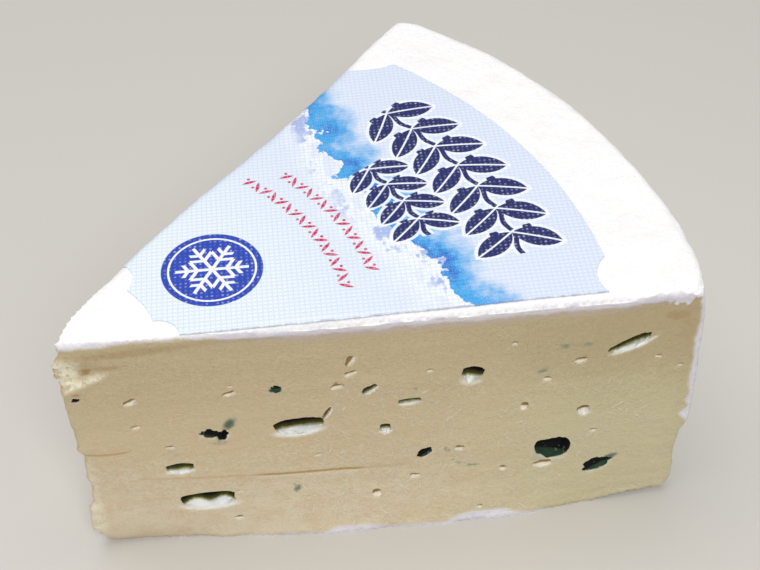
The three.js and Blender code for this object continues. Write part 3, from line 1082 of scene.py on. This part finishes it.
def labelMaterial():
    look = labelPrint
    board = Board("printedEmbossedPaper")
    spot = board.place()
    along, inward, _ = board.parts(spot)
    r = (along * along + inward * inward) ** 0.5
    turn = along.heading(inward) * (180 / math.pi)
    wobble = board.cloud(spot, 7, 4.0, 0.6)
    small = board.cloud(spot, 1.6, 3.0, 0.65)
    # paper
    colour = board.mix(r.ramp(58, 22), look["paper"], look["paperTip"])
    # mountains: a ridge across the strip, sky outside it, shaded slopes inside it
    bend = (turn - 24) / 27
    ridge = 50.8 + bend * bend * 9.5 + wobble * 13 + small * 3
    over = r - ridge
    sky = over.ramp(-0.15, 0.15) * over.ramp(8, 2) * (wobble + 0.7).ramp(0.15, 0.6)
    colour = board.mix(sky, colour, look["cyan"])
    deepSky = sky * over.ramp(3.6, 0.8) * (wobble * 2.5 + small + 0.5).ramp(0.2, 0.8)
    colour = board.mix(deepSky * 0.85, colour, look["azure"])
    leaning = board.mapped(spot, Scale=(1, 0.55, 1), Rotation=(0, 0, 0.7))
    facets = board.cloud(leaning, 3.4, 3.0, 0.6)
    slope = over.ramp(0.1, -0.15) * over.ramp(-9, -1.5)
    colour = board.mix(slope * 0.8, colour, look["white"])
    shadow = slope * (facets + small * 0.4).ramp(0.01, 0.1) * over.ramp(-7, -2)
    colour = board.mix(shadow * 0.8, colour, look["slope"])
    far = slope * (facets - small * 0.3).ramp(-0.02, -0.16) * 0.35
    colour = board.mix(far, colour, look["weave"])
    # ornaments
    inked = None
    for row in look["leafRows"]:
        ink, veins, within = garland(turn, r, row)
        halo = ink.ramp(0.62, 0.42) * within
        solid = ink.ramp(0.06, -0.06) * veins.ramp(0.1, 0.2) * within
        colour = board.mix(halo * 0.85, colour, look["white"])
        colour = board.mix(solid, colour, look["navy"])
        inked = solid if inked is None else inked.most(solid)
    for row in look["redRows"]:
        colour = board.mix(redRow(turn, r, row), colour, look["red"])
    # medallion
    medal = look["medallion"]
    x, y = along - medal["along"], inward - medal["inward"]
    fromMiddle = (x * x + y * y) ** 0.5
    disc = fromMiddle.ramp(medal["radius"], medal["radius"] - 0.15)
    colour = board.mix(disc, colour, look["royal"])
    ring = fromMiddle.ramp(medal["ringOuter"], medal["ringOuter"] - 0.1)
    ring = ring * fromMiddle.ramp(medal["ringInner"], medal["ringInner"] + 0.1)
    sign = crystal(x, y, medal["crystal"]).most(ring) * disc
    colour = board.mix(sign, colour, look["white"])
    inked = inked.most(disc * (1 - sign)).most(sky * 0.6).most(shadow)
    # the linen grain pressed into the paper
    across = abs(along / look["thread"] % 1.0 - 0.5)
    down = abs(inward / look["thread"] % 1.0 - 0.5)
    button = ((across * across + down * down) ** 0.5).ramp(0.34, 0.2)
    gap = across.most(down).ramp(0.36, 0.46)
    speck = board.cloud(spot, 1.0, 2.0, 0.7)
    colour = board.mix(gap * (1 - inked) * 0.45, colour, look["weave"])
    colour = board.mix(button * inked * (speck * 2.4 + 0.3).ramp(0, 1) * 0.45, colour, look["white"])
    # painted shade: a dotted dark line along the paper's cut edges, where its thickness is in shade
    edge = board.attribute("rim").ramp(0.2, 0.08) * (small * 3 + 0.6).ramp(0, 1)
    colour = board.mix(edge * 0.45, colour, look["edge"])
    relief = button * 0.7 - gap * 0.5 + board.cloud(spot, 0.4, 2.0) * 0.3
    return board.finish(
        {
            "Base Color": colour,
            "Roughness": 0.55 + small * 0.2,
            "Normal": board.bump(relief, 0.05),
            "Specular IOR Level": 0.4,
        }
    )


def finishPiece(piece, material):
    putInPlace(piece)
    piece.data.materials.clear()
    piece.data.materials.append(material)
    piece.data.shade_smooth()
    piece.data.set_sharp_from_angle(angle=surface["sharp"])


cheese = makeCheese()
paintCheese(cheese)
finishPiece(cheese, cheeseMaterial())
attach(cheese, "root")
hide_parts("cheese_wedge")
print("cheese: done")

sheet = makeLabel()
finishPiece(sheet, labelMaterial())
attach(sheet, "root")
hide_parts("paper_label")
print("label: done")

# floor, lamps and camera, in metres
studio = {
    "floor": shade(206, 202, 195),
    "floorSize": 3.0,
    "world": (0.95, 0.97, 1.0),
    "worldStrength": 0.33,
    "lamps": (
        {"name": "overhead", "size": 0.6, "power": 2.0, "from": (-0.05, 0.1, 0.62)},
        {"name": "front", "size": 0.35, "power": 2.4, "from": (-0.16, -0.42, 0.56)},
    ),
}
camera = {
    "azimuth": math.radians(-30.83),
    "elevation": math.radians(45.06),
    "roll": math.radians(-1.265),
    "distance": 0.2291,
    "lens": 67.3,
    "sensor": 36,
    "aim": (55.17, 5.88, 23.0),  # millimetres from the wheel's middle
}


def makeStudio():
    bm = bmesh.new()
    half = studio["floorSize"] / 2
    bmesh.ops.create_grid(bm, x_segments=1, y_segments=1, size=half)
    floor = objectOf("floor", bm)
    board = Board("paleFloor")
    floor.data.materials.append(board.finish({"Base Color": (*studio["floor"], 1), "Roughness": 0.8}))
    world = bpy.data.worlds.new("softRoom")
    world.use_nodes = True
    background = world.node_tree.nodes["Background"]
    background.inputs["Color"].default_value = (*studio["world"], 1)
    background.inputs["Strength"].default_value = studio["worldStrength"]
    bpy.context.scene.world = world
    for lamp in studio["lamps"]:
        light = bpy.data.lights.new(lamp["name"], "AREA")
        light.shape = "DISK"
        light.size = lamp["size"]
        light.energy = lamp["power"]
        hung = bpy.data.objects.new(lamp["name"], light)
        hung.location = lamp["from"]
        aim = Vector((0, 0, 0.02)) - hung.location
        hung.rotation_euler = aim.to_track_quat("-Z", "Y").to_euler()
        bpy.context.scene.collection.objects.link(hung)


def makeCamera():
    az, el, roll = camera["azimuth"], camera["elevation"], camera["roll"]
    back = Vector((math.sin(az) * math.cos(el), -math.cos(az) * math.cos(el), math.sin(el)))
    right = (-back).cross(up).normalized()
    top = right.cross(-back)
    turnedRight = right * math.cos(roll) + top * math.sin(roll)
    turnedTop = top * math.cos(roll) - right * math.sin(roll)
    lens = bpy.data.cameras.new("view")
    lens.lens = camera["lens"]
    lens.sensor_width = camera["sensor"]
    lens.clip_start = 0.01
    made = bpy.data.objects.new("view", lens)
    bpy.context.scene.collection.objects.link(made)
    aim = (Vector(camera["aim"]) + centre) * mm
    turn = Matrix((turnedRight, turnedTop, back)).transposed().to_4x4()
    made.matrix_world = Matrix.Translation(aim + back * camera["distance"]) @ turn
    bpy.context.scene.camera = made


makeStudio()
makeCamera()
bpy.context.scene.view_settings.view_transform = "Standard"
print("studio: done")
